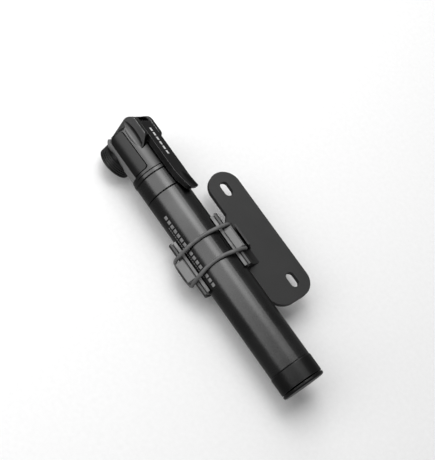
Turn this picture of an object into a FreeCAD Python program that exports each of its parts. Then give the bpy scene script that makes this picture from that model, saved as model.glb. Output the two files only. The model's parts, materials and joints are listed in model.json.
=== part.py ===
import FreeCAD, Part
import math
import os

# Bicycle mini pump in its side bracket, millimetres.
# +X runs along the barrel towards the handle's end, so the head is at -X.
# +Y runs from the pump to the bracket's bolt line, and +Z leaves the bicycle's tube.
# The origin is the centre of the two bottle-boss slots, on the plate's back face.
# "reach" below is a distance from the handle's end towards the head.

# ---- driving dimensions: pump ----
handle_end_x = 84.5
pump_axis_y = -33.5
pump_axis_z = 3.0
head_roll = -35.0
sleeve_radius = 12.5
sleeve_bore = 11.0
barrel_radius = 10.2
barrel_bore = 9.0

end_plug_reach = 1.9
end_cap_reach = 13.2
sleeve_mouth_reach = 129.5
collar_reach = 141.2
ring_reach = 143.8
groove_gap = 0.3
end_cap_radius = 12.8
ring_radius = 12.75

barrel_open_reach = 19.0
barrel_head_reach = 150.0
bush_length = 7.0
rod_radius = 4.0
rod_start_reach = 8.0
piston_reach = 139.0
piston_length = 9.0

# ---- driving dimensions: head ----
head_radius = 12.4
head_top_reach = 173.0
head_edge_radius = 2.6
port_reach = 164.1
pin_reach = 167.3
lever_face_height = 15.3
lever_width = 12.4
lever_tip_reach = 122.5
lever_tip_height = 16.8
lever_clearance = 13.1
cam_radius = 7.2
cam_offset = 1.0
crown_radius = 5.0
pin_height = lever_face_height - cam_radius - cam_offset
pin_radius = 1.5
pin_half_length = 7.4
hinge_half_width = 9.4
slot_half_width = lever_width / 2 + 0.25
chamber_radius = 7.0
valve_hole_radius = 4.4
gland_bore = 3.8
gland_radius = 6.75
gland_cap_radius = 10.4
gland_cap_face = -15.7
gland_cap_base = -10.0
gland_cap_spigot = 7.9
gland_back = -6.25
gland_front = -11.8
cover_stand = 0.4
cover_depth = 0.8
saddle_flat = -10.7
saddle_edge = -4.4
saddle_flat_half = 5.6
saddle_edge_half = 11.65
saddle_wall = 1.9
saddle_start_reach = ring_reach + 1.6
socket_wall_radius = 11.0
socket_wall_reach = 153.0

# ---- driving dimensions: bracket ----
cradle_roll = 27.0
cradle_reach = (70.5, 104.5)
liner_radius = 12.95
cradle_bore = 14.4
cradle_radius = 16.05
cradle_rim = 5.5
liner_rim = 5.95
plate_thickness = 3.0
plate_half_width = 10.0
boss_spacing = 64.0
slot_radius = 2.7
slot_length = 9.4
strap_diameter = 2.3
strap_spacing = 15.0
strap_gap = 0.45
strap_reach = 88.5
bight_spacing = 16.2
bight_reach = 87.0

X_AXIS = FreeCAD.Vector(1, 0, 0)
Y_AXIS = FreeCAD.Vector(0, 1, 0)
Z_AXIS = FreeCAD.Vector(0, 0, 1)
FAR = 60.0


def at(reach):
    """X of a station that lies this far from the handle's end."""
    return handle_end_x - reach


def vec(x, y, z):
    return FreeCAD.Vector(x, y, z)


def on_pump(shape, roll):
    """Turn a shape made about the X axis by roll, and move it to the pump's axis."""
    placed = shape.copy()
    placed.rotate(vec(0, 0, 0), X_AXIS, roll)
    placed.translate(vec(0, pump_axis_y, pump_axis_z))
    return placed


def face_of(edges):
    return Part.Face(Part.Wire(Part.__sortEdges__(edges)))


def polygon(points):
    return Part.Face(Part.makePolygon(points + [points[0]]))


def turned(points):
    """Solid turned about X from a closed outline of (reach, radius) points."""
    outline = polygon([vec(at(reach), 0, radius) for reach, radius in points])
    return outline.revolve(vec(0, 0, 0), X_AXIS, 360)


def tube(reach_a, reach_b, outer, inner=0.0, bevel=0.0):
    """Tube or rod along the barrel, with its outer edges bevelled."""
    low, high = sorted((reach_a, reach_b))
    points = [(low, inner), (low, outer - bevel), (low + bevel, outer)]
    points += [(high - bevel, outer), (high, outer - bevel), (high, inner)]
    if bevel == 0.0:
        points = [(low, inner), (low, outer), (high, outer), (high, inner)]
    return turned(points)


def port_disc(z_a, z_b, outer, inner=0.0):
    """Disc or tube square to the barrel, on the valve port's axis."""
    low, high = sorted((z_a, z_b))
    base = vec(at(port_reach), 0, low)
    disc = Part.makeCylinder(outer, high - low, base, Z_AXIS)
    if inner > 0.0:
        disc = disc.cut(Part.makeCylinder(inner, high - low, base, Z_AXIS))
    return disc


def cross_pin(reach, height, radius, half_length):
    """Cylinder across the head, square to the barrel and to the port."""
    return Part.makeCylinder(radius, 2 * half_length, vec(at(reach), -half_length, height), Y_AXIS)


def block(reach_a, reach_b, y_a, y_b, z_a, z_b):
    """Box between two stations along the barrel."""
    corner = vec(min(at(reach_a), at(reach_b)), min(y_a, y_b), min(z_a, z_b))
    return Part.makeBox(abs(reach_a - reach_b), abs(y_a - y_b), abs(z_a - z_b), corner)


def o_ring(reach, major, minor):
    return Part.makeTorus(major, minor, vec(at(reach), 0, 0), X_AXIS)


def rounded_plate(corners, radii, push):
    """Flat closed outline with each corner rounded to its own radius, pushed into a solid."""
    return face_of(rounded_edges(corners, radii)).extrude(push)


def rounded_edges(corners, radii):
    """Lines and tangent arcs round a closed outline of corners."""
    count = len(corners)
    starts = []
    ends = []
    edges = []
    for index, corner in enumerate(corners):
        back = (corners[index - 1] - corner).normalize()
        ahead = (corners[(index + 1) % count] - corner).normalize()
        half_angle = back.getAngle(ahead) / 2
        radius = radii[index]
        setback = radius / math.tan(half_angle)
        starts.append(corner + back * setback)
        ends.append(corner + ahead * setback)
        if radius > 0:
            middle_way = (back + ahead).normalize()
            middle = corner + middle_way * (radius / math.sin(half_angle) - radius)
            edges.append(Part.Arc(starts[-1], middle, ends[-1]).toShape())
    for index in range(count):
        start = ends[index]
        end = starts[(index + 1) % count]
        if start.distanceToPoint(end) > 1e-4:
            edges.append(Part.makeLine(start, end))
    return edges


# ---- handle and piston ----

guide_ring_reach = (sleeve_mouth_reach - 6.0, sleeve_mouth_reach - 1.5)
guide_ring_radius = sleeve_bore + 0.3


def outer_sleeve():
    sleeve = tube(end_cap_reach, sleeve_mouth_reach, sleeve_radius, sleeve_bore, 0.25)
    ring_seat = tube(guide_ring_reach[0], guide_ring_reach[1], guide_ring_radius)
    return on_pump(sleeve.cut(ring_seat), 0)


def sleeve_guide_ring():
    running_gap = 0.15
    ring = tube(guide_ring_reach[0], guide_ring_reach[1], guide_ring_radius, barrel_radius + running_gap)
    return on_pump(ring, 0)


def handle_end_cap():
    web_end = rod_start_reach
    spigot_end = end_cap_reach + 3.8
    cap = turned([
        (end_plug_reach + 0.4, 6.1), (end_plug_reach + 0.4, end_cap_radius - 0.3),
        (end_plug_reach + 0.7, end_cap_radius), (end_cap_reach - 0.6, end_cap_radius),
        (end_cap_reach, sleeve_radius - 0.1), (end_cap_reach, sleeve_bore),
        (spigot_end, sleeve_bore), (spigot_end, sleeve_bore - 1.6),
        (web_end, sleeve_bore - 1.6), (web_end, 2.1), (4.6, 2.1), (4.6, 6.1)])
    return on_pump(cap, 0)


def end_plug():
    plug = turned([
        (0.0, 0.0), (0.0, end_cap_radius - 0.9), (0.25, end_cap_radius - 0.35),
        (0.8, end_cap_radius), (end_plug_reach - 0.3, end_cap_radius),
        (end_plug_reach, end_cap_radius - 0.3), (end_plug_reach, 7.2),
        (end_plug_reach + 0.4, 7.2), (end_plug_reach + 0.4, 6.0),
        (2.8, 6.0), (2.8, 0.0)])
    return on_pump(plug, 0)


def rod_screw():
    head = tube(3.0, 4.6, 3.6, 0.0, 0.3)
    shank = tube(4.6, 20.0, 2.0)
    socket = tube(3.0, 3.9, 1.4)
    return on_pump(head.fuse(shank).cut(socket), 0)


def piston_rod():
    neck_end = piston_reach + piston_length - 0.6
    rod = turned([
        (rod_start_reach, 2.0), (rod_start_reach, rod_radius), (piston_reach, rod_radius),
        (piston_reach, 3.0), (neck_end - 1.7, 3.0), (neck_end - 1.7, 2.5), (neck_end - 0.9, 2.5),
        (neck_end - 0.9, 3.0), (neck_end, 3.0), (neck_end, 0.0), (20.0, 0.0), (20.0, 2.0)])
    return on_pump(rod, 0)


def rod_clip():
    clip_start = piston_reach + piston_length - 2.3
    clip = tube(clip_start, clip_start + 0.8, 4.4, 2.5)
    mouth = block(clip_start - 1, clip_start + 2, -1.2, 1.2, 0, FAR)
    return on_pump(clip.cut(mouth), 0)


def piston():
    start = piston_reach
    groove = start + 3.4
    end = start + piston_length
    body = turned([
        (start, 3.1), (start, 8.3), (start + 0.5, 8.8), (groove, 8.8), (groove, 7.0),
        (groove + 2.0, 7.0), (groove + 2.0, 8.8), (end - 0.5, 8.8), (end, 8.3), (end, 5.0),
        (end - 2.4, 5.0), (end - 2.4, 3.1)])
    return on_pump(body, 0)


def piston_seal():
    return on_pump(o_ring(piston_reach + 4.4, 7.93, 0.93), 0)


# ---- barrel ----

def inner_barrel():
    return on_pump(tube(barrel_open_reach, barrel_head_reach, barrel_radius, barrel_bore, 0.3), 0)


def barrel_bush():
    start = barrel_open_reach
    bush = turned([
        (start - 0.8, rod_radius + 0.15), (start - 0.8, barrel_radius - 0.2), (start, barrel_radius - 0.2),
        (start, barrel_bore), (start + bush_length, barrel_bore), (start + bush_length, rod_radius + 0.15)])
    return on_pump(bush, 0)


def barrel_collar():
    start = sleeve_mouth_reach + groove_gap + 0.1
    return on_pump(tube(start, collar_reach, sleeve_radius, barrel_radius, 0.25), 0)


def collar_ring():
    return on_pump(tube(collar_reach + 0.2, ring_reach, ring_radius, barrel_radius, 0.35), 0)


def barrel_seal():
    return on_pump(o_ring(barrel_head_reach + 0.5, 9.55, 0.5), 0)


def valve_seat():
    start = barrel_head_reach + 1.0
    return on_pump(tube(start, start + 1.4, 10.1, 1.2), 0)


def check_valve():
    start = barrel_head_reach + 2.4
    return on_pump(turned([(start, 0), (start, 4.6), (start + 0.6, 4.6), (start + 1.1, 2.0),
                           (start + 2.0, 1.2), (start + 2.0, 0)]), 0)


def check_spring():
    """Bowed leaf that holds the check valve on its seat."""
    half_span = 4.2
    half_width = 1.0
    thickness = 0.25
    crown = at(barrel_head_reach + 4.45)
    foot = at(barrel_head_reach + 5.7)
    front = Part.Arc(vec(foot, -half_span, -half_width), vec(crown, 0, -half_width),
                     vec(foot, half_span, -half_width)).toShape()
    back = front.copy()
    back.translate(vec(-thickness, 0, 0))
    edges = [front, back]
    for side in (-1, 1):
        corner = vec(foot, side * half_span, -half_width)
        edges.append(Part.makeLine(corner, corner - vec(thickness, 0, 0)))
    return on_pump(face_of(edges).extrude(vec(0, 0, 2 * half_width)), 0)


# ---- head ----

def saddle_section(lift, top):
    """Bevelled channel section of the head's valve side, raised by lift and closed at top."""
    return [
        vec(0, -saddle_edge_half, top), vec(0, -saddle_edge_half, saddle_edge + lift),
        vec(0, -saddle_flat_half, saddle_flat + lift), vec(0, saddle_flat_half, saddle_flat + lift),
        vec(0, saddle_edge_half, saddle_edge + lift), vec(0, saddle_edge_half, top)]


def saddle_prism(lift, top, reach_a, reach_b):
    section = polygon(saddle_section(lift, top))
    section.translate(vec(at(reach_b), 0, 0))
    return section.extrude(vec(reach_b - reach_a, 0, 0))


def port_side_outline():
    """Side outline of the head below the barrel's axis, with its top corner well rounded."""
    top = at(head_top_reach)
    bottom = at(saddle_start_reach)
    corners = [vec(top, 0, FAR), vec(top, 0, saddle_flat), vec(bottom, 0, saddle_flat), vec(bottom, 0, FAR)]
    outline = rounded_plate(corners, [0, 4.5, 0.8, 0], vec(0, 2 * FAR, 0))
    outline.translate(vec(0, -FAR, 0))
    return outline


def cover_outline(side, grow):
    """Curved patch on one side of the head; grow widens it all round for its pocket."""
    low = saddle_edge + 0.4 - grow
    high_at_ring = 5.6 + grow
    high_at_top = 5.2 + grow
    bottom = at(ring_reach + 2.1) + grow
    top = at(head_top_reach - 1.2) - grow
    corners = [vec(bottom, 0, low), vec(bottom, 0, high_at_ring), vec(top, 0, high_at_top), vec(top, 0, low)]
    return rounded_plate(corners, [1.0, 1.8, 3.0, 4.0], vec(0, side * FAR, 0))


def round_head(grow):
    """Round body of the head with its top edge rounded, grown outwards by grow."""
    top = head_top_reach + grow
    body = tube(ring_reach + 0.2, top, head_radius + grow)
    circles = [edge for edge in body.Edges if edge.BoundBox.YLength > 1]
    rim = [edge for edge in circles if abs(edge.BoundBox.XMax - at(top)) < 1e-3]
    return body.makeFillet(head_edge_radius, rim)


def side_cover(side):
    shell = round_head(cover_stand).cut(tube(0, 200, head_radius - cover_depth))
    return on_pump(shell.common(cover_outline(side, 0.0)), head_roll)


def side_cover_front():
    return side_cover(-1)


def side_cover_back():
    return side_cover(1)


def cover_pocket(side):
    shell = tube(0, 200, head_radius + 4, head_radius - cover_depth)
    return shell.common(cover_outline(side, groove_gap))


def side_scoop(side):
    """Spindle that hollows the corner between the hinge's cheek and the round head."""
    half_length = 17.0
    depth = 3.3
    centre = vec(at(pin_reach - 1.3), side * 11.9, 9.3)
    bow = Part.Arc(vec(-half_length, 0, 0), vec(0, 0, depth), vec(half_length, 0, 0)).toShape()
    chord = Part.makeLine(vec(half_length, 0, 0), vec(-half_length, 0, 0))
    spindle = face_of([bow, chord]).revolve(vec(0, 0, 0), X_AXIS, 360)
    spindle.translate(centre)
    return spindle


def hinge_outline():
    """Side outline of the two cheeks that hold the lever: sloped foot, round crown, leaning back."""
    foot_reach = 156.5
    foot_height = 9.5
    land_reach = 161.2
    crown_reach = 177.0
    root = -3.0
    corners = [vec(at(foot_reach), 0, root), vec(at(foot_reach), 0, foot_height),
               vec(at(land_reach), 0, lever_face_height), vec(at(crown_reach), 0, lever_face_height),
               vec(at(head_top_reach), 0, root)]
    cheeks = rounded_plate(corners, [0, 3.0, 2.5, crown_radius + 0.1, 0], vec(0, 2 * hinge_half_width, 0))
    cheeks.translate(vec(0, -hinge_half_width, 0))
    return cheeks


def head_body():
    below = block(saddle_start_reach, 200, -FAR, FAR, -FAR, saddle_edge + saddle_wall)
    body = round_head(0.0).cut(below)
    port_block = saddle_prism(saddle_wall, 0.0, saddle_start_reach, head_top_reach)
    body = body.fuse(port_block.common(port_side_outline_inner()))
    body = body.fuse(socket_wall().common(port_side_outline()))
    body = body.fuse(hinge_outline())
    for side in (-1, 1):
        body = body.cut(cover_pocket(side))
        body = body.cut(side_scoop(side))
    for cavity in head_cavities():
        body = body.cut(cavity)
    return on_pump(body.removeSplitter(), head_roll)


def port_side_outline_inner():
    inner = port_side_outline()
    inner.translate(vec(saddle_wall, 0, saddle_wall))
    return inner


def socket_wall():
    """Round wall that stands between the barrel's socket and the saddle."""
    return tube(saddle_start_reach, socket_wall_reach, socket_wall_radius)


def head_cavities():
    """Everything hollow in the head: socket, air way, chamber, lever slot and pin hole."""
    socket_end = barrel_head_reach + 2.4
    pocket_end = barrel_head_reach + 6.0
    slot_radius_round_cam = cam_radius + 2.4
    slot_start = pin_reach - slot_radius_round_cam
    chamber_floor = pin_height - 5.4
    return [
        tube(ring_reach - 5, socket_end, barrel_radius),
        tube(socket_end, pocket_end, 5.5),
        Part.makeCylinder(1.3, 8, vec(at(pocket_end + 6), 0, -3.6), X_AXIS),
        port_disc(gland_front - 5, chamber_floor, chamber_radius),
        port_disc(gland_cap_base - 5, gland_cap_base + 3.4, gland_cap_spigot + 0.05),
        cross_pin(pin_reach, pin_height, slot_radius_round_cam, slot_half_width),
        block(slot_start, 200, -slot_half_width, slot_half_width, pin_height, FAR),
        cross_pin(pin_reach, pin_height, pin_radius, pin_half_length + 0.1)]


def port_saddle():
    """Satin plate that wraps the head's valve side, with the gland cap let into it."""
    outer = saddle_prism(0.0, saddle_edge + 0.01, saddle_start_reach, head_top_reach)
    inner = saddle_prism(saddle_wall, 0.0, 0, 200)
    saddle = outer.common(port_side_outline()).cut(inner.common(port_side_outline_inner()))
    saddle = saddle.cut(port_disc(-FAR, 0, gland_cap_spigot + 0.05)).cut(socket_wall())
    saddle = saddle.cut(port_disc(-FAR, gland_cap_base + 0.1, gland_cap_radius + 0.15))
    return on_pump(saddle, head_roll)


def gland_cap():
    """Ribbed cap that screws over the rubber gland."""
    first_groove = gland_cap_face + 0.9
    pitch = 1.3
    groove_width = 0.55
    groove_floor = gland_cap_radius - 0.8
    mouth_bevel = 0.6
    cap = port_disc(gland_cap_face, gland_cap_base, gland_cap_radius)
    for index in range(4):
        low = first_groove + index * pitch
        cap = cap.cut(port_disc(low, low + groove_width, gland_cap_radius + 1, groove_floor))
    cap = cap.fuse(port_disc(gland_cap_base, gland_cap_base + 3.3, gland_cap_spigot))
    cap = cap.cut(port_disc(gland_front, 0, gland_radius + 0.1))
    cap = cap.cut(port_disc(-FAR, 0, valve_hole_radius))
    flare = Part.makeCone(valve_hole_radius + mouth_bevel, valve_hole_radius, mouth_bevel,
                          vec(at(port_reach), 0, gland_cap_face), Z_AXIS)
    return on_pump(cap.cut(flare), head_roll)


def valve_gland():
    return on_pump(port_disc(gland_front, gland_back, gland_radius, gland_bore), head_roll)


plunger_top = pin_height - cam_radius + cam_offset - 0.05


def plunger():
    """Cam follower that squeezes the gland, with the air way through its stem."""
    head_base = plunger_top - 3.2
    body = port_disc(plunger_top, head_base, chamber_radius - 0.1)
    body = body.fuse(port_disc(head_base, gland_back + 0.05, 5.2))
    body = body.cut(port_disc(plunger_top - 1.3, plunger_top - 2.6, 8, 5.7))
    body = body.cut(port_disc(gland_back, head_base, 1.4))
    cross_hole = Part.makeCylinder(0.9, 2 * FAR, vec(at(port_reach) - FAR, 0, -4.4), X_AXIS)
    return on_pump(body.cut(cross_hole), head_roll)


def plunger_seal():
    ring = Part.makeTorus(6.28, 0.58, vec(at(port_reach), 0, plunger_top - 1.95), Z_AXIS)
    return on_pump(ring, head_roll)


def lever_pin():
    return on_pump(cross_pin(pin_reach, pin_height, pin_radius, pin_half_length), head_roll)


def lever_arm():
    """Arm along the barrel: flat outer face, tip flared outwards, hollow underside."""
    hub_x = at(pin_reach + cam_offset)
    tip_x = at(lever_tip_reach)
    low = pin_height + 5.0
    face = lever_face_height
    side = [
        vec(hub_x, 0, low), vec(tip_x - 9, 0, low), vec(tip_x - 0.5, 0, low + 1.9),
        vec(tip_x, 0, lever_tip_height), vec(tip_x - 8, 0, face), vec(hub_x, 0, face)]
    profile = rounded_plate(side, [0, 6, 0.4, 0.5, 70, 0], vec(0, lever_width, 0))
    profile.translate(vec(0, -lever_width / 2, 0))
    half = lever_width / 2
    tip_half = half - 1.4
    taper_start = tip_x - 14
    plan = [vec(hub_x - 10, -half, 0), vec(taper_start, -half, 0), vec(tip_x, -tip_half, 0),
            vec(tip_x, tip_half, 0), vec(taper_start, half, 0), vec(hub_x - 10, half, 0)]
    outline = rounded_plate(plan, [0, 20, 2.2, 2.2, 20, 0], vec(0, 0, FAR))
    arm = profile.common(outline)
    return arm.cut(tube(0, pin_reach - 6.5, lever_clearance))


def thumb_dish():
    """Shallow oval hollow for the thumb: a big ring's rim pressed into the lever's tip."""
    along_radius = 18.4
    across_radius = 8.5
    bottom = 14.65
    centre = vec(at(lever_tip_reach + 6.8), 0, bottom + along_radius)
    return Part.makeTorus(along_radius - across_radius, across_radius, centre, Y_AXIS)


def lever_hub():
    """Round cam with a squarer crown on its outer corner."""
    hub_reach = pin_reach + cam_offset
    hub_height = pin_height + cam_offset
    cam = cross_pin(hub_reach, hub_height, cam_radius, lever_width / 2)
    inner = at(hub_reach)
    outer = at(hub_reach + cam_radius)
    corners = [vec(inner, 0, hub_height), vec(inner, 0, lever_face_height),
               vec(outer, 0, lever_face_height), vec(outer, 0, hub_height)]
    crown = rounded_plate(corners, [0, 0, crown_radius, 0], vec(0, lever_width, 0))
    crown.translate(vec(0, -lever_width / 2, 0))
    return cam.fuse(crown)


def lever():
    body = lever_arm().fuse(lever_hub())
    window = block(pin_reach + 2.6, pin_reach + 6.2, -5.0, 5.0, lever_face_height - 3.6, FAR)
    body = body.cut(window).cut(thumb_dish())
    body = body.cut(cross_pin(pin_reach, pin_height, pin_radius + 0.05, FAR))
    return on_pump(body.removeSplitter(), head_roll)


# ---- bracket ----

def cradle_length_tube(outer, inner, inset=0.0):
    return tube(cradle_reach[0] + inset, cradle_reach[1] - inset, outer, inner)


def open_top(shape, height):
    """Cut away all of a cradle part that stands above a height over the pump's axis."""
    return shape.cut(block(0, 200, -FAR, FAR, height, FAR))


def cradle_liner():
    liner = cradle_length_tube(cradle_bore, liner_radius, 0.4)
    return on_pump(open_top(liner, liner_rim), cradle_roll)


# Each hook: its side, how steeply the strap's end dips behind it, its lip's two edges and its station.
HOOKS = (
    {"side": -1, "dip": 75.0, "lip": (14.0, 19.0), "reach": 87.0},
    {"side": 1, "dip": 80.0, "lip": (13.2, 17.4), "reach": 86.6})
lip_half = 6.15
lip_height = (5.4, 7.3)


def strap_shoulder(side):
    """Point where a strand turns down over the cradle's rim, in the cradle's cross-section."""
    return vec(0, side * 16.5, 6.9)


def dip_way(hook):
    angle = math.radians(hook["dip"])
    return vec(0, hook["side"] * math.cos(angle), -math.sin(angle))


def bight_half():
    """Half the distance between the strap's strands where they turn round a post."""
    return bight_spacing / 2


def hook_solid(hook):
    """Round post with a flat lip over it; the strap's end turns round the post."""
    side = hook["side"]
    way = dip_way(hook)
    dip = math.radians(hook["dip"])
    across = vec(0, side * math.sin(dip), math.cos(dip))
    post_radius = bight_half() - strap_diameter / 2 - 0.25
    centre = strap_shoulder(side) + way * 1.2 + vec(at(bight_reach), 0, 0)
    post = Part.makeCylinder(post_radius, 4.6, centre - across * 3.2, across)
    post = post.common(block(0, 200, side * 13.2, side * FAR, -FAR, 6.2))
    start = hook["reach"] - lip_half
    end = hook["reach"] + lip_half
    lip_inner, lip_outer = hook["lip"]
    lip = block(start, end, side * lip_inner, side * lip_outer, lip_height[0], lip_height[1])
    lip = lip.makeFillet(0.5, [edge for edge in lip.Edges if edge.BoundBox.ZMin > lip_height[1] - 0.1])
    riser = block(start + 0.5, end - 0.5, side * 14.0, side * 16.6, 2.0, 6.0)
    return post.fuse(lip).fuse(riser)


def rim_gap():
    """Narrow gap between the liner and the wall, open along both rims and beside both lips."""
    gap = cradle_length_tube(cradle_bore + 0.6, cradle_bore - 0.1)
    return gap.common(block(0, 200, -FAR, FAR, cradle_rim - 3.5, FAR))


def guard_wall():
    """Thin straight wall that stands on the plate outside the strap's end."""
    return block(79.6, 93.2, 19.9, 20.8, -12.3, 3.4)


def plate():
    """Flat plate under the bottle cage, with its tongue and its side that meets the cradle."""
    tongue_end = boss_spacing / 2 + 1.0
    tongue = Part.makeBox(2 * tongue_end, 2 * plate_half_width, plate_thickness,
                          vec(-tongue_end, -plate_half_width, 0))
    for side in (-1, 1):
        round_end = Part.makeCylinder(plate_half_width, plate_thickness, vec(side * tongue_end, 0, 0))
        tongue = tongue.fuse(round_end)
    inner_y = pump_axis_y + cradle_bore - 1
    wide_end = tongue_end + plate_half_width
    corners = [vec(-21.5, 0, 0), vec(-21.5, -7.5, 0), vec(-13.5, -14.5, 0), vec(-13.5, inner_y, 0),
               vec(wide_end, inner_y, 0), vec(wide_end, 0, 0)]
    wide = rounded_plate(corners, [0, 2.0, 2.0, 0, 12.0, 0], vec(0, 0, plate_thickness))
    return tongue.fuse(wide)


def web():
    """Curved gusset between the plate and the cradle's wall."""
    foot = vec(0, -9.0, plate_thickness - 0.5)
    wall = vec(0, -19.6, 11.2)
    hollow = Part.Arc(foot, vec(0, -15.2, 5.4), wall).toShape()
    edges = [hollow, Part.makeLine(wall, vec(0, -24, 6)), Part.makeLine(vec(0, -24, 6), vec(0, -24, 0.5)),
             Part.makeLine(vec(0, -24, 0.5), vec(0, -9.0, 0.5)), Part.makeLine(vec(0, -9.0, 0.5), foot)]
    gusset = face_of(edges)
    gusset.translate(vec(at(cradle_reach[1]) + 6.5, 0, 0))
    return gusset.extrude(vec(cradle_reach[1] - cradle_reach[0] - 6.5, 0, 0))


def boss_slot(side):
    half_run = slot_length / 2 - slot_radius
    centre = side * boss_spacing / 2
    slot = Part.makeBox(2 * half_run, 2 * slot_radius, FAR, vec(centre - half_run, -slot_radius, -10))
    for end in (-1, 1):
        slot = slot.fuse(Part.makeCylinder(slot_radius, FAR, vec(centre + end * half_run, 0, -10)))
    return slot


def bracket():
    cradle = open_top(cradle_length_tube(cradle_radius, cradle_bore), cradle_rim)
    for hook in HOOKS:
        cradle = cradle.fuse(hook_solid(hook))
    cradle = cradle.cut(tube(0, 200, cradle_bore)).cut(rim_gap()).fuse(guard_wall())
    body = plate().fuse(web()).cut(on_pump(tube(0, 200, cradle_bore), 0))
    body = body.fuse(on_pump(cradle, cradle_roll))
    for side in (-1, 1):
        body = body.cut(boss_slot(side))
    return body.removeSplitter()


def strap_route():
    """Corners and bend radii of the rubber loop's centre line, in the cradle's own section."""
    ride = sleeve_radius + strap_gap + strap_diameter / 2
    shoulder = strap_shoulder(1)
    lean = math.atan2(shoulder.y, shoulder.z) - math.acos(ride / math.hypot(shoulder.y, shoulder.z))
    crown = vec(0, 0, ride / math.cos(lean))
    middle = vec(strap_spacing / 2, 0, 0)
    turn = bight_half()
    shift = strap_reach - bight_reach
    ahead = vec(shift + turn, 0, 0)
    behind = vec(shift - turn, 0, 0)
    left, right = HOOKS
    left_end = strap_shoulder(-1) + dip_way(left) * (turn + 1.2)
    right_end = strap_shoulder(1) + dip_way(right) * (turn + 1.2)
    corners = [crown + middle, strap_shoulder(1) + ahead, right_end + ahead, right_end + behind,
               strap_shoulder(1) + behind, crown - middle, strap_shoulder(-1) + behind,
               left_end + behind, left_end + ahead, strap_shoulder(-1) + ahead]
    bend = 2.2
    radii = [ride, bend, turn, turn, bend, ride, bend, turn, turn, bend]
    return corners, radii


def cord_piece(edge):
    """One straight or bend of the rubber loop, swept along one edge of its centre line."""
    start = edge.valueAt(edge.FirstParameter)
    way = edge.tangentAt(edge.FirstParameter)
    disc = Part.Face(Part.Wire(Part.makeCircle(strap_diameter / 2, start, way)))
    if isinstance(edge.Curve, Part.Circle):
        centre = edge.Curve.Center
        turn = math.degrees(edge.Length / edge.Curve.Radius)
        return disc.revolve(centre, (start - centre).cross(way), turn)
    return disc.extrude(way * edge.Length)


def strap_loop():
    corners, radii = strap_route()
    pieces = [cord_piece(edge) for edge in Part.__sortEdges__(rounded_edges(corners, radii))]
    loop = pieces[0].multiFuse(pieces[1:])
    loop.translate(vec(at(strap_reach), 0, 0))
    return on_pump(loop, cradle_roll)


NODES = (
    bracket, cradle_liner, strap_loop,
    head_body, side_cover_front, side_cover_back, port_saddle, gland_cap, valve_gland, lever_pin,
    inner_barrel, barrel_bush, barrel_collar, collar_ring, barrel_seal, valve_seat, check_valve, check_spring,
    lever, plunger, plunger_seal,
    piston, piston_seal,
    piston_rod, rod_clip, rod_screw, outer_sleeve, sleeve_guide_ring, handle_end_cap, end_plug)


os.makedirs("parts", exist_ok=True)
for make in NODES:
    solid = make()
    name = make.__name__
    solid.exportStep("parts/" + name + ".step")
    print(name, len(solid.Solids), "valid" if solid.isValid() else "NOT VALID", round(solid.Volume, 1))
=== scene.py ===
import json
import math

import bmesh
import bpy
from mathutils import Matrix, Vector


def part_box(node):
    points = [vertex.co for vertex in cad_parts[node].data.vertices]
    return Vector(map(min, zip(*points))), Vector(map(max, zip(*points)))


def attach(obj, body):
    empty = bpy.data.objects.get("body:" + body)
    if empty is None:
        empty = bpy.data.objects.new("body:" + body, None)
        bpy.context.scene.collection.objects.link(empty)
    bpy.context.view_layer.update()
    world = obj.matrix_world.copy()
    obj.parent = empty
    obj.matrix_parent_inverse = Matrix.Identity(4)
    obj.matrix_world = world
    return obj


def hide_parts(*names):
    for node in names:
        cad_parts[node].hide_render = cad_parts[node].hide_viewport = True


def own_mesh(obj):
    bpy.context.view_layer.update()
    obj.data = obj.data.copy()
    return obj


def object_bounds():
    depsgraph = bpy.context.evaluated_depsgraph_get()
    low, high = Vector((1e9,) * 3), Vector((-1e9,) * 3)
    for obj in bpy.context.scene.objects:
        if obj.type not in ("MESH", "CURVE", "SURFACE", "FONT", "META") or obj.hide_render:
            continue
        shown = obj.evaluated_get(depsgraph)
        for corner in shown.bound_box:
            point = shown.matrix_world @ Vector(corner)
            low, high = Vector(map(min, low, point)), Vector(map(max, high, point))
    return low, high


# Looks of a bicycle mini pump in its side bracket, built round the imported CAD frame, in metres.
# +X runs along the barrel to the handle's end, +Y from the pump to the bolt line, +Z off the tube.

MM = 0.001
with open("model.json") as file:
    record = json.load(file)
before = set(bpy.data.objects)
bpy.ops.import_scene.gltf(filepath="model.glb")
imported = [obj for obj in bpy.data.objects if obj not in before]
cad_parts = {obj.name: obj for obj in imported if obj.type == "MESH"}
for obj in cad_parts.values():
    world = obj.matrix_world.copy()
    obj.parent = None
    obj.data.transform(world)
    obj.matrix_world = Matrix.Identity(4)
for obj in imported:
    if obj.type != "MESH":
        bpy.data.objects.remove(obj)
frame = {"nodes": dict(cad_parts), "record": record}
scene = bpy.context.scene
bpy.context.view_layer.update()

# Where things are, all read from the frame.
sleeve_low, sleeve_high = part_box("outer_sleeve")
liner_low, liner_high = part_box("cradle_liner")
strap_low, strap_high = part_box("strap_loop")
handle_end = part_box("end_plug")[1].x
pump_axis = Vector((0, (sleeve_low.y + sleeve_high.y) / 2, (sleeve_low.z + sleeve_high.z) / 2))
sleeve_radius = (sleeve_high.z - sleeve_low.z) / 2


# ---- camera ----

# The camera's angles and distance, and where its axis passes the pump.
LOOK_DOWN = math.radians(60.0)
LOOK_TOWARDS_HEAD = math.radians(11.2)
CAMERA_ROLL = math.radians(35.7)
CAMERA_DISTANCE = 626 * MM
CAMERA_PAST_HANDLE = 27.1 * MM
CAMERA_ASIDE = 11.1 * MM
LENS = 90.8

# Along the barrel, across the view and into it, before the camera turns towards the head and rolls.
ALONG = Vector((1, 0, 0))
ACROSS = Vector((0, math.sin(LOOK_DOWN), math.cos(LOOK_DOWN)))
INTO = Vector((0, math.cos(LOOK_DOWN), -math.sin(LOOK_DOWN)))


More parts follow.
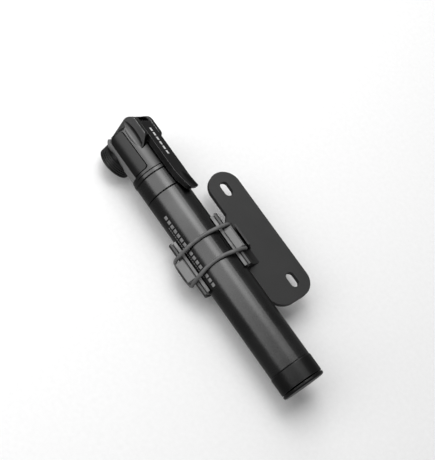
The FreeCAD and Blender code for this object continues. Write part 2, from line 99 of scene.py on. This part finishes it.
def add_camera():
    """Camera over the pump, beyond the handle's end, looking back towards the head."""
    forward = INTO * math.cos(LOOK_TOWARDS_HEAD) - ALONG * math.sin(LOOK_TOWARDS_HEAD)
    down = ALONG * math.cos(LOOK_TOWARDS_HEAD) + INTO * math.sin(LOOK_TOWARDS_HEAD)
    right = ACROSS * math.cos(CAMERA_ROLL) + down * math.sin(CAMERA_ROLL)
    up = ACROSS * math.sin(CAMERA_ROLL) - down * math.cos(CAMERA_ROLL)
    target = pump_axis + ALONG * (handle_end + CAMERA_PAST_HANDLE) + ACROSS * CAMERA_ASIDE
    place = target - INTO * CAMERA_DISTANCE
    data = bpy.data.cameras.new("camera")
    data.lens = LENS
    data.sensor_width = 36
    data.clip_start = 0.01
    data.clip_end = 20
    camera = bpy.data.objects.new("camera", data)
    turn = Matrix((right, up, -forward)).transposed().to_4x4()
    camera.matrix_world = Matrix.Translation(place) @ turn
    scene.collection.objects.link(camera)
    scene.camera = camera


add_camera()


# ---- node material helpers ----

# The cradle's roll about the pump's axis.
CRADLE_ROLL = math.radians(27.0)

# How well a face's normal agrees with the rounded one, on a flat and on the middle of an edge.
FLAT_DOT = 0.995
EDGE_DOT = 0.80

# Stretches that lay a noise's lines round the barrel and along it.
TURNED = (1, 0.02, 0.02)
DRAWN = (0.03, 1, 1)


class Sheet:
    """A node material being built: short calls that add nodes and wire them."""

    def __init__(self, name):
        self.material = bpy.data.materials.new(name)
        self.material.use_nodes = True
        self.tree = self.material.node_tree
        self.shader = self.tree.nodes["Principled BSDF"]
        self.place = self.node("ShaderNodeTexCoord").outputs["Object"]

    def node(self, kind, **settings):
        """New node with its settings."""
        made = self.tree.nodes.new(kind)
        for key, value in settings.items():
            setattr(made, key, value)
        return made

    def wire(self, source, target):
        self.tree.links.new(source, target)

    def feed(self, target, value):
        """Wire a socket into the target, or set the target to a constant."""
        if isinstance(value, bpy.types.NodeSocket):
            self.wire(value, target)
        else:
            target.default_value = value

    def noise(self, scale, detail=3.0, rough=0.5, stretch=(1, 1, 1)):
        """Noise in the part's own space, with this many patches to a metre."""
        mapping = self.node("ShaderNodeMapping")
        mapping.inputs["Scale"].default_value = stretch
        self.wire(self.place, mapping.inputs["Vector"])
        noise = self.node("ShaderNodeTexNoise")
        noise.inputs["Scale"].default_value = scale
        noise.inputs["Detail"].default_value = detail
        noise.inputs["Roughness"].default_value = rough
        self.wire(mapping.outputs["Vector"], noise.inputs["Vector"])
        return noise.outputs["Fac"]

    def span(self, value, low, high, to_low, to_high):
        """Value taken from one range to another and held at its ends."""
        ranged = self.node("ShaderNodeMapRange")
        self.wire(value, ranged.inputs["Value"])
        limits = {"From Min": low, "From Max": high, "To Min": to_low, "To Max": to_high}
        for socket, number in limits.items():
            ranged.inputs[socket].default_value = number
        return ranged.outputs["Result"]

    def spread(self, noise, to_low, to_high):
        """Noise, which mostly lies between 0.3 and 0.7, stretched over these limits."""
        return self.span(noise, 0.3, 0.7, to_low, to_high)

    def math(self, operation, a, b=0.0, clamp=False):
        made = self.node("ShaderNodeMath", operation=operation, use_clamp=clamp)
        self.feed(made.inputs[0], a)
        self.feed(made.inputs[1], b)
        return made.outputs[0]

    def mix(self, share, a, b):
        """Colour between a, at share 0, and b, at share 1."""
        made = self.node("ShaderNodeMix", data_type="RGBA")
        self.feed(made.inputs["Factor"], share)
        colours = [s for s in made.inputs if s.type == "RGBA"]
        self.feed(colours[0], a)
        self.feed(colours[1], b)
        return next(s for s in made.outputs if s.type == "RGBA")

    def edge(self, radius):
        """How far a spot is on an edge, from 0 on a flat to 1, and the rounded normal."""
        bevel = self.node("ShaderNodeBevel", samples=4)
        bevel.inputs["Radius"].default_value = radius
        flat = self.node("ShaderNodeNewGeometry").outputs["Normal"]
        dot = self.node("ShaderNodeVectorMath", operation="DOT_PRODUCT")
        self.wire(bevel.outputs["Normal"], dot.inputs[0])
        self.wire(flat, dot.inputs[1])
        return self.span(dot.outputs["Value"], FLAT_DOT, EDGE_DOT, 0.0, 1.0), bevel.outputs["Normal"]

    def bump(self, height, distance, strength=1.0, under=None):
        made = self.node("ShaderNodeBump")
        made.inputs["Strength"].default_value = strength
        made.inputs["Distance"].default_value = distance
        self.wire(height, made.inputs["Height"])
        if under is not None:
            self.wire(under, made.inputs["Normal"])
        return made.outputs["Normal"]

    def about_axis(self):
        """Distance along the barrel, and y and z from the pump's axis."""
        split = self.node("ShaderNodeSeparateXYZ")
        self.wire(self.place, split.inputs[0])
        y = self.math("SUBTRACT", split.outputs[1], pump_axis.y)
        z = self.math("SUBTRACT", split.outputs[2], pump_axis.z)
        return split.outputs[0], y, z

    def round_pump(self, roll):
        """Distance along the barrel, and arc length round the pump from the line at this roll."""
        along, y, z = self.about_axis()
        angle = self.math("ADD", self.math("ARCTAN2", y, z), roll)
        return along, self.math("MULTIPLY", angle, sleeve_radius)

    def cradle_height(self):
        """Height over the pump's axis, square to the cradle's rims."""
        y, z = self.about_axis()[1:]
        aside = self.math("MULTIPLY", y, -math.sin(CRADLE_ROLL))
        return self.math("ADD", aside, self.math("MULTIPLY", z, math.cos(CRADLE_ROLL)))

    def within(self, value, centre, half):
        """1 where the value is this near to the centre and 0 elsewhere, with a slightly soft edge."""
        softness = 0.03 * MM
        off = self.math("ABSOLUTE", self.math("SUBTRACT", value, centre))
        return self.span(off, half - softness, half + softness, 1.0, 0.0)

    def dashes(self, along, start, end, pitch, share):
        """Row of equal dashes from start to end, each this share of the pitch long."""
        phase = self.math("FRACT", self.math("DIVIDE", self.math("SUBTRACT", along, start), pitch))
        dash = self.math("LESS_THAN", phase, share)
        middle = (start + end) / 2
        return self.math("MULTIPLY", dash, self.within(along, middle, abs(end - start) / 2))

    def print_wear(self):
        """Share of the ink left on a printed mark."""
        return self.spread(self.noise(900, 3), 0.75, 1.0)

    def clouded(self, cloud, dark, light):
        """Colour that drifts between two tones with a noise."""
        return self.mix(self.spread(cloud, 0.0, 1.0), dark, light)

    def finish(self, colour, rough, normal, **constants):
        """Wire the surface up and set whole-surface constants on the shader's own sockets."""
        self.feed(self.shader.inputs["Base Color"], colour)
        self.feed(self.shader.inputs["Roughness"], rough)
        self.wire(normal, self.shader.inputs["Normal"])
        for name, value in constants.items():
            self.shader.inputs[name.replace("_", " ")].default_value = value
        return self.material


def reach(distance_mm):
    """X of a station this far from the handle's end."""
    return handle_end - distance_mm * MM


# Printed rows of plain dashes: the roll of their lines about the pump's axis, each row's start, end,
# pitch and inked share, its half width, and how far round the small row lies from the big one.
MARK_ROLL = math.radians(70.0)
LEVER_ROLL = math.radians(-35.0)
BIG_MARK = (reach(118.0), reach(70.0), 3.0 * MM, 0.7)
SMALL_MARK = (reach(112.0), reach(78.0), 1.5 * MM, 0.6)
LEVER_MARK = (reach(165.0), reach(146.0), 3.2 * MM, 0.72)
BIG_HALF = 1.1 * MM
SMALL_HALF = 0.35 * MM
LEVER_HALF = 0.75 * MM
SMALL_ASIDE = -2.6 * MM
INK = 0.75


def grey(level):
    """Neutral colour of this level."""
    return (level, level, level, 1.0)


def anodised(name, base, rough, edge_radius=0.25 * MM, bare_and_highlit_edge=0.28):
    """Satin black anodised alloy: fine blasted grain, faint drawing lines, edges lighter: wear, and with a
    light edge tone a painted highlight along the edges.
    """
    s = Sheet(name)
    cloud = s.noise(45, 4)
    grain = s.noise(3600, 2)
    drawn = s.noise(900, 2, stretch=DRAWN)
    on_edge, rounded = s.edge(edge_radius)
    # Edge lightening: wear, and where the edge tone is light a painted highlight along the edges.
    scuff_and_highlight = s.math("MULTIPLY", on_edge, s.span(s.noise(700, 3), 0.35, 0.7, 0.1, 0.6))
    colour = s.clouded(cloud, grey(base * 0.85), grey(base * 1.15))
    colour = s.mix(scuff_and_highlight, colour, grey(bare_and_highlit_edge))
    patchy = s.spread(cloud, rough - 0.03, rough + 0.03)
    roughness = s.math("ADD", patchy, s.spread(grain, -0.02, 0.02))
    height = s.math("ADD", grain, s.math("MULTIPLY", drawn, 0.5))
    return s, colour, roughness, s.bump(height, 0.012 * MM, 0.6, rounded)


def moulded(name, base, rough, grain_size, depth, edge_radius=0.3 * MM, edge_wear_and_highlight_gain=2.2, **constants):
    """Moulded plastic: fine mould grain, flow marks in its colour, edges smoother and lighter: wear, and at
    a high edge gain a painted highlight along the edges.
    """
    s = Sheet(name)
    cloud = s.noise(70, 4)
    grain = s.noise(1 / grain_size, 3, 0.6)
    on_edge, rounded = s.edge(edge_radius)
    # Edge lightening by the edge gain: wear, and where the gain is high a painted highlight.
    rubbed_and_highlit = s.math("MULTIPLY", on_edge, s.spread(s.noise(500, 3), 0.15, 0.7))
    colour = s.clouded(cloud, grey(base * 0.85), grey(base * 1.2))
    colour = s.mix(rubbed_and_highlit, colour, grey(base * edge_wear_and_highlight_gain))
    grainy = s.spread(grain, rough - 0.04, rough + 0.05)
    roughness = s.math("SUBTRACT", grainy, s.math("MULTIPLY", rubbed_and_highlit, 0.12))
    return s.finish(colour, roughness, s.bump(grain, depth, 0.7, rounded), **constants)


# Grey levels of the bracket's flats, edges and tops, and the heights over the pump's axis, square to the
# cradle's rims, between which the painted light on the upper rims and hook tops sets in.
BRACKET_BASE = 0.012
BRACKET_EDGE = 0.12
BRACKET_PAINTED_TOP_LIGHT = 0.19
TOP_LIGHT_FROM = 4.8 * MM
TOP_LIGHT_FULL = 7.0 * MM


def bracket_material():
    """Dark moulded nylon with lighter edges; painted light: its upper rims and hook tops are painted
    lighter, where the light falls on them.
    """
    s = Sheet("bracket_nylon")
    cloud = s.noise(70, 4)
    grain = s.noise(3300, 3, 0.6)
    edge, rounded = s.edge(0.2 * MM)
    # Painted light: everything high over the pump's axis, the rims and hook tops, is painted lighter as if
    # lit.
    upper = s.span(s.cradle_height(), TOP_LIGHT_FROM, TOP_LIGHT_FULL, 0.0, 1.0)
    painted_top_light = s.math("MULTIPLY", upper, s.spread(cloud, 0.85, 1.0))
    colour = s.clouded(cloud, grey(BRACKET_BASE * 0.85), grey(BRACKET_BASE * 1.2))
    colour = s.mix(s.math("MULTIPLY", edge, 0.6), colour, grey(BRACKET_EDGE))
    colour = s.mix(painted_top_light, colour, grey(BRACKET_PAINTED_TOP_LIGHT))
    roughness = s.spread(grain, 0.44, 0.53)
    return s.finish(colour, roughness, s.bump(grain, 0.02 * MM, 0.7, rounded))


# Grey level painted on the edges: thin paint from wear and a painted highlight along the edges.
EDGE_WEAR_AND_HIGHLIGHT_PAINT = 0.30


def painted(name, base, rough):
    """Black paint over a casting: slight orange peel, edges duller from wear and painted lighter, partly
    wear and partly a painted highlight.
    """
    s = Sheet(name)
    cloud = s.noise(60, 4)
    peel = s.noise(1100, 2)
    on_edge, rounded = s.edge(0.35 * MM)
    # Painted highlight along the lever's edges, mixed with wear.
    rubbed_and_highlit = s.math("MULTIPLY", on_edge, s.spread(s.noise(600, 3), 0.2, 0.8))
    colour = s.clouded(cloud, grey(base * 0.85), grey(base * 1.2))
    colour = s.mix(rubbed_and_highlit, colour, grey(EDGE_WEAR_AND_HIGHLIGHT_PAINT))
    patchy = s.spread(cloud, rough - 0.03, rough + 0.04)
    roughness = s.math("ADD", patchy, s.math("MULTIPLY", rubbed_and_highlit, 0.06))
    return s, colour, roughness, s.bump(peel, 0.012 * MM, 0.5, rounded)


def rubber(name, base, rough):
    """Matt moulded rubber with a patchy talc bloom and slightly lighter edges."""
    s = Sheet(name)
    cloud = s.noise(160, 5, 0.6)
    grain = s.noise(2400, 3, 0.65)
    on_edge, rounded = s.edge(0.25 * MM)
    colour = s.mix(s.span(cloud, 0.35, 0.7, 0, 1), grey(base * 0.8), grey(base * 1.35))
    colour = s.mix(s.math("MULTIPLY", on_edge, 0.3), colour, grey(base * 1.6))
    roughness = s.spread(cloud, rough - 0.05, rough + 0.08)
    height = s.math("ADD", grain, s.math("MULTIPLY", cloud, 1.5))
    return s.finish(colour, roughness, s.bump(height, 0.02 * MM, 0.8, rounded), Specular_IOR_Level=0.4)


def metal(name, colour_low, colour_high, rough, stretch, scale=1500):
    """Bare metal with fine lines left by turning or drawing, laid along the given stretch."""
    s = Sheet(name)
    lines = s.noise(scale, 4, 0.6, stretch)
    cloud = s.noise(90, 3)
    rounded = s.edge(0.15 * MM)[1]
    colour = s.clouded(lines, colour_low, colour_high)
    patchy = s.spread(cloud, rough - 0.05, rough + 0.06)
    roughness = s.math("ADD", patchy, s.spread(lines, -0.04, 0.04))
    return s.finish(colour, roughness, s.bump(lines, 0.006 * MM, 0.6, rounded), Metallic=1.0)


def plastic_white(name, base, rough):
    """Machined white plastic, slightly yellowed in patches."""
    s = Sheet(name)
    cloud = s.noise(120, 4)
    grain = s.noise(1800, 2)
    rounded = s.edge(0.2 * MM)[1]
    clean = (base, base * 0.98, base * 0.93, 1)
    yellowed = (base * 0.94, base * 0.9, base * 0.84, 1)
    colour = s.clouded(cloud, clean, yellowed)
    roughness = s.spread(grain, rough - 0.05, rough + 0.05)
    return s.finish(colour, roughness, s.bump(grain, 0.01 * MM, 0.5, rounded))


def sleeve_material():
    """Anodised tube with two printed rows of plain dashes."""
    s, colour, roughness, normal = anodised("sleeve_anodised", base=0.068, rough=0.27)
    along, round_it = s.round_pump(MARK_ROLL)
    big = s.math("MULTIPLY", s.dashes(along, *BIG_MARK), s.within(round_it, 0.0, BIG_HALF))
    small = s.math("MULTIPLY", s.dashes(along, *SMALL_MARK), s.within(round_it, SMALL_ASIDE, SMALL_HALF))
    mark = s.math("MULTIPLY", s.math("ADD", big, small, clamp=True), s.print_wear())
    inked = s.mix(mark, colour, grey(INK))
    return s.finish(inked, s.math("ADD", roughness, s.math("MULTIPLY", mark, 0.2)), normal, Metallic=1.0)


def cap_material():
    """Turned and anodised cap."""
    s, colour, roughness, normal = anodised("cap_anodised", base=0.038, rough=0.32)
    return s.finish(colour, roughness, normal, Metallic=1.0)


def head_material():
    """Anodised head, its edges painted very light: a painted highlight along the rounded edges, on top of
    wear.
    """
    s, colour, roughness, normal = anodised("head_anodised", base=0.068, rough=0.34,
                                            edge_radius=0.35 * MM, bare_and_highlit_edge=0.60)
    return s.finish(colour, roughness, normal, Metallic=1.0)


def lever_material():
    """Semi-gloss painted arm with one printed row of plain dashes on its flat face."""
    s, colour, roughness, normal = painted("lever_paint", base=0.003, rough=0.14)
    along, round_it = s.round_pump(LEVER_ROLL)
    row = s.math("MULTIPLY", s.dashes(along, *LEVER_MARK), s.within(round_it, 0.0, LEVER_HALF))
    mark = s.math("MULTIPLY", row, s.print_wear())
    return s.finish(s.mix(mark, colour, grey(INK)), roughness, normal, Specular_IOR_Level=0.22)


MATERIALS = {
    "sleeve": sleeve_material(),
    "cap": cap_material(),
    "head": head_material(),
    "cover": moulded("cover_satin", base=0.003, rough=0.31, grain_size=0.6 * MM, depth=0.008 * MM,
                     Specular_IOR_Level=0.40),
    "saddle": moulded("saddle_grey", base=0.17, rough=0.40, grain_size=0.4 * MM, depth=0.010 * MM),
    "lever": lever_material(),
    "bracket": bracket_material(),
    # The gland cap's high edge gain paints highlights along its rib edges.
    "gland_cap": moulded("gland_cap_satin", base=0.010, rough=0.34, grain_size=0.5 * MM, depth=0.010 * MM,
                         edge_radius=0.22 * MM, edge_wear_and_highlight_gain=9.0),
    "rubber": rubber("liner_rubber", base=0.21, rough=0.60),
    "strap": rubber("strap_rubber", base=0.115, rough=0.50),
    "gland": rubber("gland_rubber", base=0.025, rough=0.55),
    "steel": metal("steel_turned", grey(0.42), grey(0.62), rough=0.30, stretch=TURNED),
    "barrel": metal("barrel_alloy", grey(0.33), grey(0.45), rough=0.30, stretch=DRAWN, scale=900),
    "rod": metal("rod_alloy", grey(0.50), grey(0.68), rough=0.30, stretch=DRAWN, scale=900),
    "acetal_white": plastic_white("acetal_white", base=0.75, rough=0.42),
    "acetal_black": moulded("acetal_black", base=0.020, rough=0.42, grain_size=0.4 * MM, depth=0.01 * MM),
    "brass": metal("seat_brass", (0.62, 0.42, 0.16, 1), (0.80, 0.58, 0.26, 1), rough=0.28, stretch=TURNED),
}

# The finish of each CAD piece that stays in view.
FINISH_OF = {
    "outer_sleeve": "sleeve", "barrel_collar": "sleeve", "collar_ring": "sleeve",
    "handle_end_cap": "cap", "end_plug": "cap",
    "head_body": "head", "side_cover_front": "cover", "side_cover_back": "cover",
    "port_saddle": "saddle", "gland_cap": "gland_cap", "lever": "lever",
    "bracket": "bracket",
    "barrel_seal": "gland", "plunger_seal": "gland", "piston_seal": "gland",
    "lever_pin": "steel", "rod_clip": "steel", "rod_screw": "steel", "check_spring": "steel",
    "inner_barrel": "barrel", "piston_rod": "rod", "valve_seat": "brass",
    "barrel_bush": "acetal_black", "sleeve_guide_ring": "acetal_white", "piston": "acetal_white",
    "check_valve": "acetal_white", "plunger": "acetal_white",
}


def dress(thing, material):
    """Give an object this one material."""
    slots = thing.data.materials
    slots.clear()
    slots.append(material)


# The soft CAD pieces, which are made again below.
REPLACED = ("cradle_liner", "strap_loop", "valve_gland")
for node_name, thing in frame["nodes"].items():
    if node_name not in REPLACED:
        dress(thing, MATERIALS[FINISH_OF[node_name]])


# ---- soft parts: the liner, the strap and the valve gland ----

def in_cradle(x, y, z):
    """Place in the part's frame of a point of the cradle's section, in millimetres from the pump's axis."""
    turned_y = y * math.cos(CRADLE_ROLL) - z * math.sin(CRADLE_ROLL)
    turned_z = y * math.sin(CRADLE_ROLL) + z * math.cos(CRADLE_ROLL)
    return Vector((x, turned_y, turned_z)) * MM + pump_axis


def piece_from(name, mesh, material, body, node):
    """Finished piece that rides on a body and stands for one CAD node."""
    piece = bpy.data.objects.new(name, mesh)
    scene.collection.objects.link(piece)
    for face in mesh.polygons:
        face.use_smooth = True
    dress(piece, material)
    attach(piece, body)
    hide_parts(node)
    return piece


def skin(name, rings, closed):
    """Mesh over equal rings of points; the rings close on each other or get end faces."""
    build = bmesh.new()
    rows = [[build.verts.new(point) for point in ring] for ring in rings]
    count = len(rows[0])
    spans = len(rows) if closed else len(rows) - 1
    for row in range(spans):
        here = rows[row]
        ahead = rows[(row + 1) % len(rows)]
        for step in range(count):
            beside = (step + 1) % count
            build.faces.new((here[step], here[beside], ahead[beside], ahead[step]))
    if not closed:
        build.faces.new(rows[0])
        build.faces.new(rows[-1])
    bmesh.ops.recalc_face_normals(build, faces=build.faces)
    mesh = bpy.data.meshes.new(name)
    build.to_mesh(mesh)
    build.free()
    return mesh


def add_liner():
    """Rubber lining, in millimetres: grip grooves along its inside, rounded rims and ends."""
    outer = 14.38
    inner = 12.95
    rim = 5.95
    groove_count = 21
    groove_depth = 0.35
    steps = groove_count * 8
    outer_steps = 60
    inner_end = math.acos(-rim / inner)
    outer_end = math.acos(-rim / outer)
    section = []
    for step in range(steps + 1):
        share = step / steps
        angle = inner_end * (2 * share - 1)
        wave = math.cos(2 * math.pi * groove_count * share)
        radius = inner + groove_depth * max(0.0, -wave) ** 0.5
        section.append((radius * math.sin(angle), -radius * math.cos(angle)))
    for step in range(outer_steps + 1):
        angle = outer_end * (1 - 2 * step / outer_steps)
        section.append((outer * math.sin(angle), -outer * math.cos(angle)))
    start = liner_low.x / MM
    end = liner_high.x / MM
    rings = [[in_cradle(x, y, z) for y, z in section] for x in (start, end)]
    mesh = skin("liner_rubber", rings, False)
    liner = piece_from("liner_rubber", mesh, MATERIALS["rubber"], "bracket", "cradle_liner")
    soften = liner.modifiers.new("rounded_rims", "BEVEL")
    soften.width = 0.4 * MM
    soften.segments = 3
    soften.limit_method = "ANGLE"
    soften.angle_limit = math.radians(55)


# The strap's route in the cradle's section, in millimetres: its height over the pump, where it passes the
# rims, where its two runs cross the pump, and the bights round the hooks' posts, each with its own dip.
STRAP_CROWN = 15.75
STRAP_SHOULDER = (17.0, 7.6)
CROWN_AHEAD = 5.3
CROWN_BEHIND = -9.3
HOOK_ROOT = (16.5, 6.9)
BIGHT_HALF = 8.1
BIGHT_REACH = 9.3
STRAP_DIPS = {-1: math.radians(75.0), 1: math.radians(80.0)}


def strap_points():
    """The rubber loop's route: over the pump, down past each rim and round each hook's post."""
    shoulder_y, shoulder_z = STRAP_SHOULDER
    root_y, root_z = HOOK_ROOT
    ends = {}
    for side, dip in STRAP_DIPS.items():
        ends[side] = (side * (root_y + BIGHT_REACH * math.cos(dip)), root_z - BIGHT_REACH * math.sin(dip))
    ahead = BIGHT_HALF
    behind = -BIGHT_HALF
    route = [(CROWN_AHEAD, 0.0, STRAP_CROWN), (ahead, shoulder_y, shoulder_z), (ahead, *ends[1]),
             (behind, *ends[1]), (behind, shoulder_y, shoulder_z), (CROWN_BEHIND, 0.0, STRAP_CROWN),
             (behind, -shoulder_y, shoulder_z), (behind, *ends[-1]), (ahead, *ends[-1]),
             (ahead, -shoulder_y, shoulder_z)]
    middle = (strap_low.x + strap_high.x) / 2 / MM
    return [in_cradle(middle + x, y, z) for x, y, z in route]


def spline_points(points):
    """Places along a closed smooth spline through the route."""
    curve = bpy.data.curves.new("route", "CURVE")
    curve.dimensions = "3D"
    spline = curve.splines.new("NURBS")
    spline.points.add(len(points) - 1)
    for knot, place in zip(spline.points, points):
        knot.co = (*place, 1.0)
    spline.order_u = 3
    spline.use_cyclic_u = True
    spline.resolution_u = 32
    holder = bpy.data.objects.new("route", curve)
    mesh = bpy.data.meshes.new_from_object(holder)
    places = [vertex.co.copy() for vertex in mesh.vertices]
    bpy.data.objects.remove(holder)
    return places


def add_strap():
    """Round rubber loop with a fine moulding line along both its sides."""
    radius = 1.10 * MM
    sides = 20
    line_height = 0.05 * MM
    places = spline_points(strap_points())
    count = len(places)
    rings = []
    for index, place in enumerate(places):
        way = (places[(index + 1) % count] - places[index - 1]).normalized()
        from_axis = Vector((0, place.y - pump_axis.y, place.z - pump_axis.z))
        out = (from_axis - way * from_axis.dot(way)).normalized()
        aside = way.cross(out)
        ring = []
        for step in range(sides):
            angle = 2 * math.pi * step / sides
            ridge = line_height if step % (sides // 2) == 0 else 0.0
            ring.append(place + (aside * math.cos(angle) + out * math.sin(angle)) * (radius + ridge))
        rings.append(ring)
    mesh = skin("strap_rubber", rings, True)
    strap = piece_from("strap_rubber", mesh, MATERIALS["strap"], "bracket", "strap_loop")


def add_gland():
    """Rubber gland with rounded ends and a grooved bore."""
    low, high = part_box("valve_gland")
    port = next(mount for mount in frame["record"]["mounts"] if mount["name"] == "valve_port")
    way = Vector(port["axis"])
    middle = (low + high) / 2
    radius = (high.x - low.x) / 2
    half = ((high.z - low.z) / 2 - radius * abs(way.y)) / abs(way.z)
    bore = 3.8 * MM
    rounding = 0.5 * MM
    groove_depth = 0.3 * MM
    groove_count = 4
    sides = 48
    steps = groove_count * 8
    section = [(radius - rounding, half), (radius, half - rounding),
               (radius, rounding - half), (radius - rounding, -half)]
    for step in range(steps + 1):
        share = step / steps
        groove = groove_depth * (1 - math.cos(2 * math.pi * groove_count * share)) / 2
        section.append((bore + groove, half * (2 * share - 1)))
    up = way.cross(ALONG)
    rings = []
    for turn in range(sides):
        angle = 2 * math.pi * turn / sides
        out = ALONG * math.cos(angle) + up * math.sin(angle)
        rings.append([middle + out * from_axis + way * along for from_axis, along in section])
    mesh = skin("gland_rubber", rings, True)
    gland = piece_from("gland_rubber", mesh, MATERIALS["gland"], "pump", "valve_gland")
    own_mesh(gland)


add_liner()
add_strap()
add_gland()


# ---- floor and light ----

FLOOR_SIZE = 6.0
FLOOR_GAP = 0.2 * MM


def add_floor():
    """Plain pale paper just under the part."""
    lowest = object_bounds()[0].z
    bpy.ops.mesh.primitive_plane_add(size=FLOOR_SIZE, location=(0, 0, lowest - FLOOR_GAP))
    floor = bpy.context.object
    floor.name = "floor"
    s = Sheet("floor_paper")
    fibre = s.noise(400, 3)
    colour = s.clouded(fibre, grey(0.92), grey(0.95))
    dress(floor, s.finish(colour, 0.9, s.bump(fibre, 0.02 * MM, 0.3), Specular_IOR_Level=0.2))
    floor.visible_glossy = False


def add_panel(name, place, turn, size, brightness):
    """Rectangular soft light at a place, whose front looks along its own -Z."""
    data = bpy.data.lights.new(name, "AREA")
    data.shape = "RECTANGLE"
    data.size, data.size_y = size
    data.energy = brightness * math.pi * size[0] * size[1]
    lamp = bpy.data.objects.new(name, data)
    lamp.matrix_world = Matrix.Translation(place) @ turn.to_4x4()
    lamp.visible_camera = False
    scene.collection.objects.link(lamp)


def add_softbox(name, swing, along, distance, size, brightness):
    """Soft panel swung round the pump's axis from the camera's side, facing the pump."""
    angle = math.radians(swing)
    way = ACROSS * math.sin(angle) - INTO * math.cos(angle)
    turn = Matrix((ALONG, way.cross(ALONG), way)).transposed()
    add_panel(name, pump_axis + way * distance + ALONG * along, turn, size, brightness)


def add_head_fill(distance, size, brightness):
    """Weak panel beyond the head, for the faces that look away from the camera."""
    way = Vector((-0.85, 0.40, 0.42)).normalized()
    turn = way.to_track_quat("Z", "Y").to_matrix()
    add_panel("head_fill", pump_axis + way * distance, turn, size, brightness)


def add_world(strength):
    """Even white surround."""
    world = bpy.data.worlds.new("studio")
    world.use_nodes = True
    sky = world.node_tree.nodes["Background"]
    sky.inputs["Color"].default_value = (1, 1, 1, 1)
    sky.inputs["Strength"].default_value = strength
    scene.world = world


add_floor()
add_softbox("key", swing=6.5, along=-0.46, distance=0.9, size=(0.80, 2.43), brightness=2.5)
add_softbox("streak", swing=31.0, along=-0.47, distance=0.85, size=(0.80, 0.36), brightness=2.5)
add_head_fill(distance=0.9, size=(0.6, 0.6), brightness=1.3)
add_world(strength=0.2)
scene.view_settings.view_transform = "Standard"
